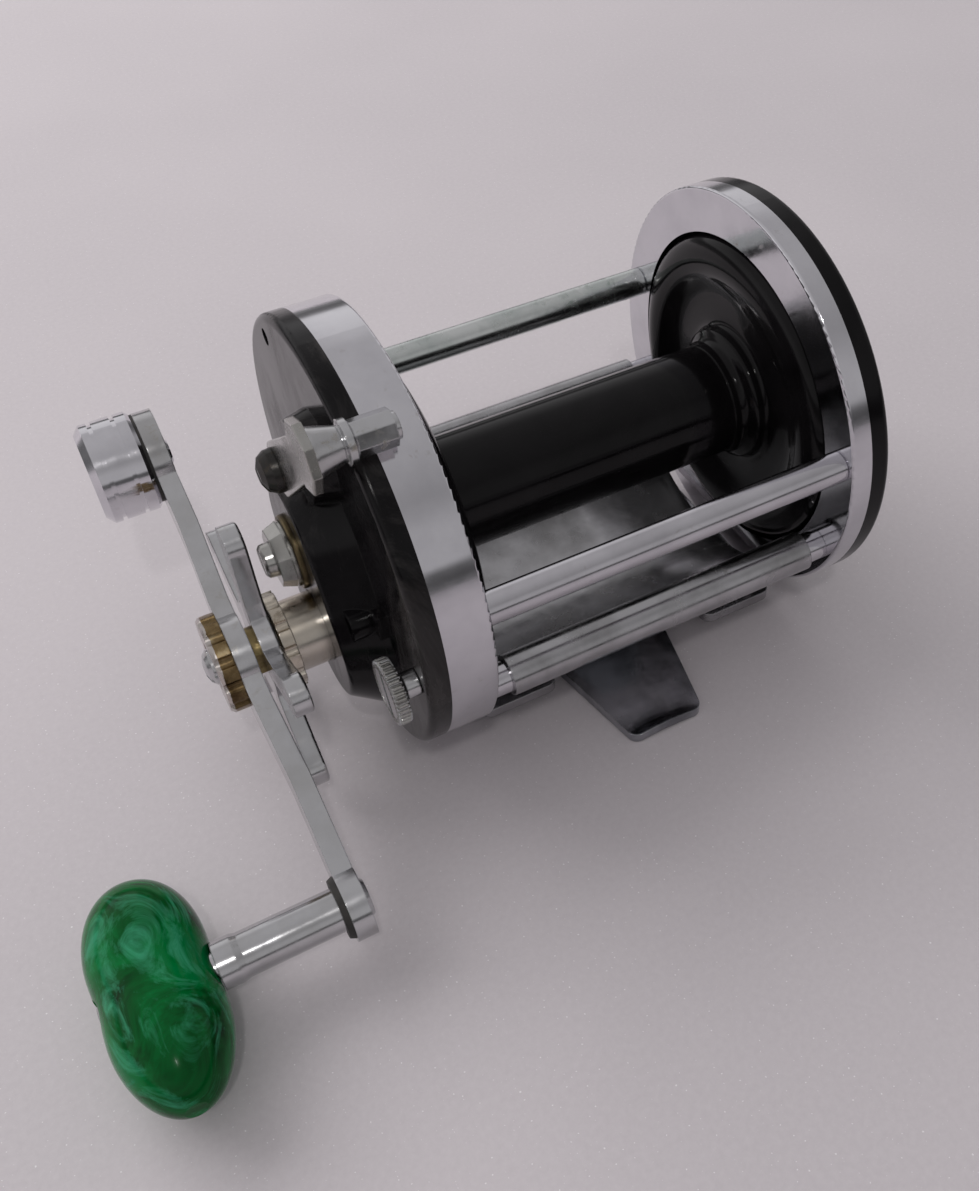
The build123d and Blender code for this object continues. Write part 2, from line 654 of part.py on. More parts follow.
# ---------------------------------------------------------------- gears
crank_to_spool = degrees(atan2(axis_z - crank_z, -crank_y))
addendum = 0.9 * gear_module
dedendum = 1.15 * gear_module
with BuildPart() as main_gear:
    prism(across(main_gear_outer, crank_y, crank_z),
          gear_outline(main_gear_teeth, addendum, dedendum, crank_to_spool), main_gear_width)
    rod(main_gear_outer, main_gear_inner, sleeve_radius + running_gap, crank_y, crank_z, Mode.SUBTRACT)
save(main_gear.part, "main_gear")

tongue_width = 4.0
tongue_thickness = 2.0
tongue_tip = pinion_inner - 1.8
pinion_neck_radius = 2.6
with BuildPart() as pinion:
    prism(across(pinion_teeth_outer),
          gear_outline(pinion_teeth, addendum, dedendum, crank_to_spool + 180 + 180 / pinion_teeth),
          pinion_inner - pinion_teeth_outer)
    rod(pinion_teeth_outer, pinion_neck_outer, pinion_neck_radius)
    rod(pinion_neck_outer, pinion_head_outer, 4.0)
    rod(pinion_inner, pinion_head_outer, pinion_seat_radius + running_gap, mode=Mode.SUBTRACT)
    with BuildSketch(across(tongue_tip - 0.1)):
        Rectangle(tongue_width + 0.1, tongue_thickness + 0.1)
    extrude(amount=pinion_inner - tongue_tip + 0.2, mode=Mode.SUBTRACT)
save(pinion.part, "pinion")

# ---------------------------------------------------------------- yoke, its springs, the cam
yoke_inner = pinion_teeth_outer - 0.1
yoke_outer = pinion_neck_outer + 0.1
yoke_bottom = -2.4
yoke_top = 5.6
yoke_half_width = 9.4
nose_radius = 0.8
nose_rise = lever_pivot_rise - cam_nose_reach
with BuildPart() as yoke:
    with BuildSketch(across(yoke_outer)):
        with Locations((0, (yoke_top + yoke_bottom) / 2)):
            RectangleRounded(2 * yoke_half_width, yoke_top - yoke_bottom, 1.5)
        with Locations((lever_pivot_y, (yoke_top + nose_rise + 1.0) / 2 - 0.5)):
            Rectangle(2.4, nose_rise + 1.0 - yoke_top + 1.0)
        Circle(pinion_neck_radius + slip_gap, mode=Mode.SUBTRACT)
        with Locations((0, yoke_bottom / 2 - 1)):
            Rectangle(2 * (pinion_neck_radius + slip_gap), -yoke_bottom + 2, mode=Mode.SUBTRACT)
        with Locations((yoke_post_offset, yoke_post_rise), (-yoke_post_offset, yoke_post_rise)):
            Circle(yoke_post_radius + running_gap, mode=Mode.SUBTRACT)
    extrude(amount=yoke_inner - yoke_outer)
    with Locations((yoke_inner, lever_pivot_y, axis_z + nose_rise)):
        Sphere(nose_radius)
save(yoke.part, "pinion_yoke")

spring_wire_radius = 0.25
spring_coil_radius = 1.5
spring_turns = 4.5
with BuildPart() as yoke_springs:
    for side in (-1, 1):
        y = side * yoke_post_offset
        z = axis_z + yoke_post_rise
        start_x = yoke_outer - spring_wire_radius
        end_x = pocket_roof + spring_wire_radius
        coil_pitch = (start_x - end_x) / spring_turns
        with BuildLine() as coil:
            wire = Helix(coil_pitch, start_x - end_x, spring_coil_radius, center=(start_x, y, z),
                         direction=(-1, 0, 0))
        with BuildSketch(Plane(origin=wire @ 0, z_dir=wire % 0)) as section:
            Circle(spring_wire_radius)
        sweep(section.sketch, path=coil.wires()[0])
save(yoke_springs.part, "yoke_springs")

# Face cam: a round block cut by a slanting plane; turning it pushes the yoke's nose outwards.
half_swing = radians(lever_swing / 2)
cam_slope_rise = pinion_travel / 2 / sin(half_swing)       # along X at the nose's reach
cam_slope = atan2(cam_slope_rise, cam_nose_reach)
cam_low_x = yoke_inner + nose_radius / cos(cam_slope) + 0.2
cam_middle_x = cam_low_x - pinion_travel / 2
cam_inner_x = cam_middle_x + cam_slope_rise * cam_radius / cam_nose_reach + 1.0
cam_outer_x = cam_middle_x - cam_slope_rise * cam_radius / cam_nose_reach
lever_plate_inner = boss_face - lever_standoff
lever_plate_outer = lever_plate_inner - lever_thickness
lever_square = 3.2
with BuildPart() as cam:
    rod(cam_inner_x, cam_outer_x, cam_radius, lever_pivot_y, lever_pivot_z)
    # The high side sits where the nose arrives once the lever has swung to the back
    high = radians(-90 + 90 + lever_swing / 2)
    up_slope = Vector(0, cos(high), sin(high))
    normal = Vector(-cos(cam_slope), 0, 0) - up_slope * sin(cam_slope)
    with BuildSketch(Plane(origin=(cam_middle_x, lever_pivot_y, lever_pivot_z), z_dir=normal)):
        Rectangle(40, 40)
    extrude(amount=20, mode=Mode.SUBTRACT)
    rod(cam_inner_x, lever_plate_inner, lever_shaft_radius, lever_pivot_y, lever_pivot_z)
    with BuildSketch(across(lever_plate_outer, lever_pivot_y, lever_pivot_z)):
        Rectangle(lever_square, lever_square)
    extrude(amount=lever_thickness + 1.0)
    rod(lever_plate_outer, lever_plate_outer + 6, 0.9, lever_pivot_y, lever_pivot_z, Mode.SUBTRACT)
save(cam.part, "free_spool_cam")

thumb_disc_radius = 5.4
thumb_barrel_radius = 2.8
with BuildPart() as lever:
    with BuildSketch(across(lever_plate_outer)) as outline:
        with Locations((lever_pivot_y, lever_pivot_rise)):
            Circle(4.4)
        with Locations((lever_knob_y, lever_knob_rise)):
            Circle(3.3)
        make_hull()
        with Locations((lever_knob_y, lever_knob_rise)):
            RegularPolygon(thumb_disc_radius, 8)
        with Locations((lever_pivot_y, lever_pivot_rise)):
            Rectangle(lever_square, lever_square, mode=Mode.SUBTRACT)
    extrude(amount=lever_thickness)
    fillet(lever.edges().group_by(Axis.X)[0], 0.3)
save(lever.part, "free_spool_lever")

barrel_outer = lever_plate_inner
thumb_length = 12.5
thumb_bead_place = 4.7           # from the lever to the bead between cone and barrel
thumb_bead_radius = 3.3
with BuildPart() as thumb_knob:
    bead = barrel_outer + thumb_bead_place
    turn([(barrel_outer, 0), (barrel_outer, 3.8), (barrel_outer + 0.6, 3.7), (bead - 0.2, 2.6),
          (bead, thumb_bead_radius), (bead + 1.0, thumb_bead_radius), (bead + 1.5, thumb_barrel_radius - 0.3),
          (barrel_outer + thumb_length, thumb_barrel_radius - 0.8), (barrel_outer + thumb_length, 0)],
         lever_knob_y, lever_knob_z)
    with BuildSketch(across(bead + 1.2, lever_knob_y, lever_knob_z)):
        RegularPolygon(thumb_barrel_radius, 8)
    extrude(amount=thumb_length - thumb_bead_place - 1.9)
save(thumb_knob.part, "lever_thumb_knob")

with BuildPart() as lever_screw:
    turn([(lever_plate_outer - 2.9, 0), (lever_plate_outer - 2.9, 1.4), (lever_plate_outer - 2.3, 2.7),
          (lever_plate_outer - 1.2, 3.4), (lever_plate_outer, 3.5), (lever_plate_outer, 0.9),
          (lever_plate_outer + 5.5, 0.9), (lever_plate_outer + 5.5, 0)], lever_pivot_y, lever_pivot_z)
    with BuildSketch(across(lever_plate_outer - 2.9, lever_pivot_y, lever_pivot_z)):
        Rectangle(7.5, 0.8, rotation=35)
    extrude(amount=0.9, mode=Mode.SUBTRACT)
save(lever_screw.part, "lever_screw")

# ---------------------------------------------------------------- spool, shaft, click wheel
lip = spool_flange_width
with BuildPart() as spool:
    outline = []
    for end, side in ((spool_handle_end, 1), (spool_tail_end, -1)):
        outline.append([(end, shaft_radius), (end, spool_flange_radius - 0.9),
                        (end + side * 0.35, spool_flange_radius - 0.25), (end + side, spool_flange_radius),
                        (end + side * (lip - 1.0), spool_flange_radius),
                        (end + side * (lip - 0.3), spool_flange_radius - 0.3),
                        (end + side * lip, spool_flange_radius - 0.9),
                        (end + side * (lip - 0.2), spool_flange_radius - 1.8),
                        (end + side * (lip - 1.1), spool_flange_radius - 2.6),
                        (end + side * (lip - 1.3), arbor_bead_radius + 0.9),
                        (end + side * (lip - 0.5), arbor_bead_radius + 0.1),
                        (end + side * (lip + 0.6), arbor_bead_radius),
                        (end + side * (lip + 3.6), arbor_radius + 0.6),
                        (end + side * (lip + 5.2), arbor_radius)])
    turn(outline[0] + outline[1][::-1])
save(spool.part, "spool")

tail_journal_radius = 1.9
shaft_step = tail_pocket_floor - 0.6
shaft_tail_end = tail_face + 1.3
shaft_handle_end = housing_face + 0.9
with BuildPart() as shaft:
    shoulder = spool_handle_end - 0.3
    turn([(shaft_tail_end, 0), (shaft_tail_end, tail_journal_radius - 0.4),
          (shaft_tail_end - 0.4, tail_journal_radius), (shaft_step, tail_journal_radius),
          (shaft_step, shaft_radius), (shoulder, shaft_radius), (shoulder, pinion_seat_radius),
          (shaft_handle_end + 0.4, pinion_seat_radius), (shaft_handle_end, pinion_seat_radius - 0.4),
          (shaft_handle_end, 0)])
    with BuildSketch(across(tongue_tip)):
        Rectangle(tongue_width, tongue_thickness)
    extrude(amount=shoulder - tongue_tip)
save(shaft.part, "spool_shaft")

click_wheel_inner = spool_tail_end
click_wheel_outer = click_wheel_inner + 1.1
with BuildPart() as click_wheel:
    prism(across(click_wheel_inner), knurled_outline(click_wheel_teeth, click_wheel_radius,
                                                     click_wheel_radius - 1.3), 1.1)
    rod(click_wheel_inner, click_wheel_outer, shaft_radius, mode=Mode.SUBTRACT)
save(click_wheel.part, "click_wheel")

# ---------------------------------------------------------------- bearing caps and bushings
cap_inner = pocket_roof + 0.8
bushing_end = housing_face + 0.4
with BuildPart() as cap_bushing:
    turn([(cap_inner, pinion_seat_radius + running_gap), (cap_inner, 3.2), (bushing_end, 3.2),
          (bushing_end, pinion_seat_radius + running_gap)])
save(cap_bushing.part, "handle_cap_bushing")

cap_body_radius = 5.6
cap_thread = cap_thread_radius - running_gap
cap_seat = housing_face - 0.9
with BuildPart() as cap_washer:
    turn([(cap_seat, cap_thread_radius), (cap_seat, cap_body_radius + 0.5), (cap_seat + 0.3, cap_body_radius + 0.7),
          (housing_face, cap_body_radius + 0.7), (housing_face, cap_thread_radius)])
save(cap_washer.part, "handle_cap_washer")

with BuildPart() as handle_cap:
    turn([(cap_inner, 3.2), (cap_inner, cap_thread), (cap_seat - 0.05, cap_thread),
          (cap_seat - 0.05, cap_body_radius), (cap_seat - 0.6, cap_body_radius), (cap_seat - 0.6, 0),
          (bushing_end, 0), (bushing_end, 3.2)])
    with BuildSketch(across(cap_seat - 0.6)):
        RegularPolygon(cap_body_radius, 8, rotation=12)
    extrude(amount=-2.2, taper=18)
    turn([(cap_seat - 2.6, 0), (cap_seat - 2.6, 3.0), (cap_seat - 4.2, 2.8), (cap_seat - 4.6, 2.3),
          (cap_seat - 4.6, 0)])
    with BuildSketch(across(cap_seat - 4.6)):
        Rectangle(8, 1.0, rotation=60)
    extrude(amount=1.1, mode=Mode.SUBTRACT)
save(handle_cap.part, "handle_bearing_cap")

tail_thread = tail_cap_thread_radius - running_gap
tail_cap_seat = tail_cap_face + 0.1
tail_bushing_end = shaft_tail_end + 0.3
with BuildPart() as tail_bushing:
    turn([(tail_pocket_floor, tail_journal_radius + running_gap), (tail_pocket_floor, 3.6),
          (tail_bushing_end, 3.6), (tail_bushing_end, tail_journal_radius + running_gap)])
save(tail_bushing.part, "tail_cap_bushing")

with BuildPart() as tail_cap:
    turn([(tail_pocket_floor, 3.6), (tail_pocket_floor, tail_thread), (tail_cap_seat, tail_thread),
          (tail_cap_seat, 7.4), (tail_cap_seat + 1.8, 7.4), (tail_cap_seat + 2.6, 6.6),
          (tail_cap_seat + 2.9, 0), (tail_bushing_end, 0), (tail_bushing_end, 3.6)])
    with BuildSketch(across(tail_cap_seat + 2.9)):
        Rectangle(16, 1.3)
    extrude(amount=-0.9, mode=Mode.SUBTRACT)
save(tail_cap.part, "tail_bearing_cap")

# ---------------------------------------------------------------- click button and pawl
click_z = axis_z + click_rest_rise
pawl_tip_rise = click_wheel_radius + 0.25 + click_travel
with BuildPart() as click_button:
    turn([(click_wheel_outer, 0), (click_wheel_outer, click_stem_radius),
          (tail_face + slip_gap, click_stem_radius), (tail_face + slip_gap, 3.0),
          (tail_face + 2.6, 3.0), (tail_face + 3.1, 2.5), (tail_face + 3.1, 0)], 0, click_z)
save(click_button.part, "click_button")

with BuildPart() as click_pawl:
    with BuildSketch(across(click_wheel_inner + 0.2)):
        with Locations((0, click_rest_rise)):
            Circle(2.4)
        with BuildLine():
            Polyline((-2.2, click_rest_rise), (-0.5, pawl_tip_rise), (0.5, pawl_tip_rise),
                     (2.2, click_rest_rise), close=True)
        make_face()
    extrude(amount=click_wheel_outer - click_wheel_inner - 0.2)
save(click_pawl.part, "click_pawl")

# ---------------------------------------------------------------- sleeve, washers, collar
sleeve_end = nut_outer + 0.35
with BuildPart() as sleeve:
    with BuildSketch(across(sleeve_end, crank_y, crank_z)):
        Circle(sleeve_radius)
        Rectangle(2 * sleeve_flat, 3 * sleeve_radius, mode=Mode.INTERSECT)
    extrude(amount=ratchet_inner - sleeve_end)
    rod(ratchet_inner, gear_post_end - 0.3, gear_post_radius + running_gap, crank_y, crank_z, Mode.SUBTRACT)
    rod(sleeve_end, sleeve_end + 4.0, 1.3, crank_y, crank_z, Mode.SUBTRACT)
save(sleeve.part, "gear_sleeve")

with BuildPart() as fibre_washers:
    for i in range(drag_washer_pairs):
        outer = main_gear_outer - (2 * i + 1) * drag_washer_thickness
        turn([(outer, sleeve_radius + slip_gap), (outer, drag_washer_radius),
              (outer + drag_washer_thickness, drag_washer_radius),
              (outer + drag_washer_thickness, sleeve_radius + slip_gap)], crank_y, crank_z)
save(fibre_washers.part, "fibre_drag_washers")

with BuildPart() as keyed_washers:
    for i in range(drag_washer_pairs):
        outer = main_gear_outer - (2 * i + 2) * drag_washer_thickness
        rod(outer, outer + drag_washer_thickness, drag_washer_radius - 0.2, crank_y, crank_z)
        keyed_bore(outer, outer + drag_washer_thickness)
save(keyed_washers.part, "keyed_drag_washers")

spring_washer_rise = 1.0
with BuildPart() as spring_washer:
    top = drag_stack_outer
    turn([(top, 7.2), (top - 0.5, 7.2), (top - spring_washer_rise, sleeve_radius + 0.4),
          (top - spring_washer_rise + 0.5, sleeve_radius + 0.4)], crank_y, crank_z)
save(spring_washer.part, "drag_spring_washer")

collar_inner = drag_stack_outer - spring_washer_rise
lobe_count = 12
with BuildPart() as collar:
    turn([(collar_inner, 0), (collar_inner, collar_radius), (collar_flange_inner, collar_radius),
          (collar_flange_inner, collar_flange_radius), (collar_flange_outer, collar_flange_radius),
          (collar_flange_outer, 0)], crank_y, crank_z)
    for i in range(lobe_count):
        a = 2 * pi * i / lobe_count
        rod(collar_flange_outer, collar_flange_inner, 1.0, crank_y + (collar_flange_radius + 0.35) * cos(a),
            crank_z + (collar_flange_radius + 0.35) * sin(a), Mode.SUBTRACT)
    keyed_bore(collar_inner, collar_flange_outer)
save(collar.part, "drag_collar")

# ---------------------------------------------------------------- star wheel
star_hub_radius = 6.0
star_hub_inner = collar_flange_outer - 0.2
star_hub_outer = star_hub_inner - star_thickness
star_plane = star_hub_inner - star_thickness / 2
tip_radius = 3.3
with BuildPart() as star:
    rod(star_hub_inner, star_hub_outer, star_hub_radius, crank_y, crank_z)
    with BuildSketch(across(star_plane - star_thickness / 2, crank_y, crank_z)):
        for i in range(star_arm_count):
            a = radians(star_angle + 360 / star_arm_count * i)
            reach = star_radius - tip_radius
            side = (-sin(a), cos(a))
            edge = [(4.0, 3.4), (0.5 * reach, 2.3), (0.75 * reach, 2.6), (reach, tip_radius)]
            left = [(p * cos(a) + w * side[0], p * sin(a) + w * side[1]) for p, w in edge]
            right = [(p * cos(a) - w * side[0], p * sin(a) - w * side[1]) for p, w in edge]
            with BuildLine():
                Polyline(*left, *reversed(right), close=True)
            make_face()
            with Locations((reach * cos(a), reach * sin(a))):
                Circle(tip_radius)
        Circle(8.5)
    extrude(amount=star_thickness)
    fillet(star.edges().filter_by(Plane.YZ).group_by(Axis.X)[1], 0.5)
    rod(star_hub_inner, star_hub_outer, sleeve_radius + running_gap, crank_y, crank_z, Mode.SUBTRACT)
save(star.part, "star_wheel")

# ---------------------------------------------------------------- crank arm and its fittings
along = Vector(0, cos(radians(arm_angle)), sin(radians(arm_angle)))
square = Vector(0, -sin(radians(arm_angle)), cos(radians(arm_angle)))
hub = Vector(0, crank_y, crank_z)
eye = hub + along * arm_length
disc = hub - along * counterweight_reach
arm_inset = 0.6                  # both ends stand this much nearer to the reel than the hub
arm_bend_start = handle_nut_radius + 0.8
arm_bend_end = arm_bend_start + 15.0
with BuildPart() as arm:
    # Side view of the bent strip
    with BuildSketch(Plane(origin=hub - square * 20, x_dir=along, z_dir=square)) as strip:
        with BuildLine():
            # local y points along +X or -X, so measure the strip with the sign of that axis
            up = 1 if strip.workplanes[0].y_dir.X > 0 else -1
            far = arm_length + 12
            near = -counterweight_reach - 12
            level = [(near, arm_inner + arm_inset), (-arm_bend_end, arm_inner + arm_inset),
                     (-arm_bend_start, arm_inner), (arm_bend_start, arm_inner),
                     (arm_bend_end, arm_inner + arm_inset),
                     (far, arm_inner + arm_inset)]
            lower = [(p, (x - arm_thickness)) for p, x in reversed(level)]
            Polyline(*[(p, up * x) for p, x in level + lower], close=True)
        make_face()
    extrude(amount=40)
    with BuildSketch(Plane(origin=(arm_outer - 5, crank_y, crank_z), x_dir=along, z_dir=(1, 0, 0))):
        Circle(arm_hub_radius)
        half = arm_width / 2
        with BuildLine():
            Polyline((0, half), (arm_length, half - 0.4), (arm_length, -half + 0.4), (0, -half),
                     (-counterweight_reach, -half + 0.3), (-counterweight_reach, half - 0.3), close=True)
        make_face()
        with Locations((arm_length, 0)):
            Circle(arm_eye_radius)
        with Locations((-counterweight_reach, 0)):
            Circle(arm_disc_radius)
    extrude(amount=12, mode=Mode.INTERSECT)
    keyed_bore(arm_outer - 2, arm_inner + 2)
    rod(arm_outer - 4, arm_inner + 2, 2.5, eye.Y, eye.Z, Mode.SUBTRACT)
    rod(arm_outer - 4, arm_inner + 2, 1.8, disc.Y, disc.Z, Mode.SUBTRACT)
save(arm.part, "crank_arm")

with BuildPart() as nut:
    rod(arm_outer, nut_outer, handle_nut_radius, crank_y, crank_z)
    chamfer(nut.edges().filter_by(GeomType.CIRCLE).sort_by(Axis.X)[0], 0.5)
    for i in range(lobe_count):
        a = 2 * pi * (i + 0.5) / lobe_count
        rod(nut_outer - 1, arm_outer, 1.1, crank_y + (handle_nut_radius + 0.4) * cos(a),
            crank_z + (handle_nut_radius + 0.4) * sin(a), Mode.SUBTRACT)
    rod(nut_outer - 1, arm_outer, sleeve_radius, crank_y, crank_z, Mode.SUBTRACT)
save(nut.part, "handle_nut")

with BuildPart() as handle_screw:
    turn([(sleeve_end + 3.8, 0), (sleeve_end + 3.8, 1.3), (sleeve_end, 1.3), (sleeve_end, 3.1),
          (sleeve_end - 0.7, 3.0), (sleeve_end - 1.4, 2.3), (sleeve_end - 1.8, 1.1), (sleeve_end - 1.8, 0)],
         crank_y, crank_z)
    with BuildSketch(across(sleeve_end - 1.8, crank_y, crank_z)):
        Rectangle(7, 0.8, rotation=20)
    extrude(amount=0.8, mode=Mode.SUBTRACT)
save(handle_screw.part, "handle_screw")

end_outer = arm_outer + arm_inset
end_inner = arm_inner + arm_inset
with BuildPart() as weight_washer:
    turn([(end_outer, 1.8), (end_outer, counterweight_radius - 0.9),
          (end_outer - 0.5, counterweight_radius - 0.9), (end_outer - 0.5, 1.8)], disc.Y, disc.Z)
save(weight_washer.part, "counterweight_washer")

with BuildPart() as weight:
    base = end_outer - 0.5
    r = counterweight_radius
    turn([(end_inner + 0.7, 0), (end_inner + 0.7, 1.9), (end_inner, 2.7), (end_inner, 1.8), (base, 1.8),
          (base, r - 0.6), (base - 0.6, r), (base - 2.4, r), (base - 2.4, r - 0.5), (base - 3.1, r - 0.5),
          (base - 3.1, r), (base - 6.2, r), (base - 6.2, r - 0.5), (base - 6.9, r - 0.5), (base - 6.9, r),
          (base - counterweight_length + 1.2, r), (base - counterweight_length, r - 1.4),
          (base - counterweight_length, 0)], disc.Y, disc.Z)
save(weight.part, "counterweight")

knob_middle_x = end_outer - spindle_length - knob_waist_radius
knob_bore_radius = 2.4 + running_gap
rivet_seat = knob_middle_x - knob_waist_radius + 1.6
knob_rivet_radius = 2.9
with BuildPart() as spindle:
    turn([(end_inner + 0.7, 0), (end_inner + 0.7, 2.7), (end_inner, 3.3), (end_inner, 2.5),
          (end_outer, 2.5), (end_outer, spindle_radius), (end_outer - spindle_length + 4, spindle_radius),
          (end_outer - spindle_length + 3, spindle_radius + 0.25),
          (end_outer - spindle_length + 0.2, spindle_radius + 0.25),
          (end_outer - spindle_length + 0.2, 2.4), (rivet_seat - 0.1, 2.4), (rivet_seat - 0.1, 1.2),
          (rivet_seat + 4, 1.2), (rivet_seat + 4, 0)], eye.Y, eye.Z)
save(spindle.part, "knob_spindle")

with BuildPart() as spindle_washer:
    turn([(end_outer, spindle_radius), (end_outer, 5.0), (end_outer - 0.9, 4.6),
          (end_outer - 0.9, spindle_radius)], eye.Y, eye.Z)
save(spindle_washer.part, "spindle_washer")

with BuildPart() as knob_rivet:
    turn([(rivet_seat + 3.8, 0), (rivet_seat + 3.8, 1.2), (rivet_seat - 0.1, 1.2), (rivet_seat - 0.1, knob_rivet_radius),
          (rivet_seat - 0.8, knob_rivet_radius - 0.2), (rivet_seat - 1.4, 1.9), (rivet_seat - 1.6, 0)], eye.Y, eye.Z)
save(knob_rivet.part, "knob_rivet")

# Barrel-shaped knob lying across its spindle
with BuildPart() as knob:
    half_k = knob_length / 2

    def barrel_radius(place):
        """Radius at a place from -1 to 1 along the barrel: two swellings, blunter at the back end."""
        fullness = 3.2 if place > 0 else 2.3
        swell = knob_radius * (1 - abs(place) ** fullness) ** 0.5
        return swell - (knob_radius - knob_waist_radius) * exp(-(place * half_k / 5.5) ** 2)

    last = 0.985
    places = [last * sin(pi / 2 * i / 9) for i in range(-9, 10)]
    with BuildSketch(Plane(origin=(knob_middle_x, eye.Y, eye.Z), x_dir=(0, 1, 0), z_dir=(1, 0, 0))):
        with BuildLine():
            profile = Spline(*[(p * half_k, barrel_radius(p)) for p in places])
            Polyline(profile @ 1, (last * half_k, 0), (-last * half_k, 0), profile @ 0)
        make_face()
    revolve(axis=Axis((knob_middle_x, eye.Y, eye.Z), (0, 1, 0)))
    rod(knob_middle_x + 12, knob_middle_x - 12, knob_bore_radius, eye.Y, eye.Z, Mode.SUBTRACT)
    rod(knob_middle_x + 12, knob_middle_x + knob_waist_radius, spindle_radius + 0.3, eye.Y, eye.Z,
        Mode.SUBTRACT)
    rod(rivet_seat, knob_middle_x - 12, knob_rivet_radius + 0.3, eye.Y, eye.Z, Mode.SUBTRACT)
save(knob.part, "knob")

# ---------------------------------------------------------------- take-down screw
bush_end = ring_back - 3.0
with BuildPart() as takedown_bush:
    turn([(-ring_face_x, takedown_thread_radius), (-ring_face_x, takedown_bush_radius),
          (bush_end, takedown_bush_radius), (bush_end, takedown_thread_radius)], takedown_y, takedown_z)
save(takedown_bush.part, "takedown_bush")

takedown_head_inner = handle_face - 3.0
with BuildPart() as takedown_screw:
    prism(across(takedown_head_inner - 2.0, takedown_y, takedown_z),
          knurled_outline(40, takedown_head_radius, takedown_head_radius - 0.55), 2.0)
    turn([(takedown_head_inner, 0), (takedown_head_inner, 3.0), (takedown_head_inner + 0.8, 2.1),
          (handle_face - 0.1, 2.1), (handle_face - 0.1, takedown_thread_radius - running_gap),
          (-ring_face_x - 0.5, takedown_thread_radius - running_gap), (-ring_face_x - 0.5, 0)],
         takedown_y, takedown_z)
    with BuildSketch(across(takedown_head_inner - 2.0, takedown_y, takedown_z)):
        Rectangle(12, 1.1, rotation=70)
    extrude(amount=0.7, mode=Mode.SUBTRACT)
save(takedown_screw.part, "takedown_screw")
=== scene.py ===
import math

import bpy
from mathutils import Matrix, Vector


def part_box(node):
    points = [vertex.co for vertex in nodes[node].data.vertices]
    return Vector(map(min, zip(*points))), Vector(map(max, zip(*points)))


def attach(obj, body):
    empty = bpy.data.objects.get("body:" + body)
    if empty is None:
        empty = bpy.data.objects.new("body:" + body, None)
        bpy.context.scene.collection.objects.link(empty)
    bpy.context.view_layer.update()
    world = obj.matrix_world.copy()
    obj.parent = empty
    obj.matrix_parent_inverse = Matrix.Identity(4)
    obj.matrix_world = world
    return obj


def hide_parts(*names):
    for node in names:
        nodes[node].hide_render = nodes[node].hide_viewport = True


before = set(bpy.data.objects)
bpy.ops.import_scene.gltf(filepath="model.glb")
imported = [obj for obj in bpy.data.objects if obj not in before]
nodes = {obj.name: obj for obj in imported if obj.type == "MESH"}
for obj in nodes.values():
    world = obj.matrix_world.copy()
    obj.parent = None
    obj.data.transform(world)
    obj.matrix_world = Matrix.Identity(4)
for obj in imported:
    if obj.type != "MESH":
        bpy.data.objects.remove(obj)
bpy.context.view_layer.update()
mm = 0.001
soft_edge = 0.0003    # radius that the light sees on a sharp edge

# ------------------------------------------------------------------ node helpers
# The scale of a noise is in features for each metre: 100 gives patches about 10 mm wide.


class Mat:
    """A node material, with short names for the nodes that it uses."""

    def __init__(self, name, **sockets):
        self.m = bpy.data.materials.new(name)
        self.m.use_nodes = True
        self.t = self.m.node_tree
        self.b = self.t.nodes["Principled BSDF"]
        for key, value in sockets.items():
            self.b.inputs[key.replace("_", " ")].default_value = value
        self.coord = self.t.nodes.new("ShaderNodeTexCoord").outputs["Object"]

    def node(self, kind, **inputs):
        n = self.t.nodes.new("ShaderNode" + kind)
        for key, value in inputs.items():
            self.put(n.inputs[key.replace("_", " ")], value)
        return n

    def put(self, socket, value):
        if isinstance(value, bpy.types.NodeSocket):
            self.t.links.new(value, socket)
        else:
            socket.default_value = value

    def mapped(self, scale=(1, 1, 1), rotation=(0, 0, 0), location=(0, 0, 0)):
        n = self.node("Mapping", Vector=self.coord)
        n.inputs["Scale"].default_value = scale
        n.inputs["Rotation"].default_value = rotation
        n.inputs["Location"].default_value = location
        return n.outputs["Vector"]

    def noise(self, scale, detail=4.0, roughness=0.5, distortion=0.0, vector=None):
        n = self.node("TexNoise", Vector=vector or self.coord, Scale=scale, Detail=detail,
                      Roughness=roughness, Distortion=distortion)
        return n.outputs["Fac"]

    def ramp(self, fac, *stops):
        n = self.node("ValToRGB", Fac=fac)
        e = n.color_ramp.elements
        while len(e) < len(stops):
            e.new(0.5)
        for item, (place, colour) in zip(e, stops):
            item.position = place
            item.color = (*colour, 1) if isinstance(colour, tuple) else (colour, colour, colour, 1)
        return n.outputs["Color"]

    def mix(self, fac, a, b):
        n = self.t.nodes.new("ShaderNodeMix")
        n.data_type = "RGBA"
        self.put(n.inputs[0], fac)
        for socket, value in ((n.inputs[6], a), (n.inputs[7], b)):
            if isinstance(value, tuple) and len(value) == 3:
                value = (*value, 1)
            self.put(socket, value)
        return n.outputs[2]

    def math(self, op, a, b=0.0):
        n = self.t.nodes.new("ShaderNodeMath")
        n.operation = op
        self.put(n.inputs[0], a)
        self.put(n.inputs[1], b)
        return n.outputs[0]

    def bump(self, height, strength, distance=0.0002, edge=0.0):
        n = self.node("Bump", Height=height, Strength=strength, Distance=distance)
        if edge:
            soft = self.node("Bevel", Radius=edge)
            soft.samples = 4
            self.put(n.inputs["Normal"], soft.outputs["Normal"])
        self.put(self.b.inputs["Normal"], n.outputs["Normal"])

    def color(self, value):
        self.put(self.b.inputs["Base Color"], value)

    def rough(self, value):
        self.put(self.b.inputs["Roughness"], value)


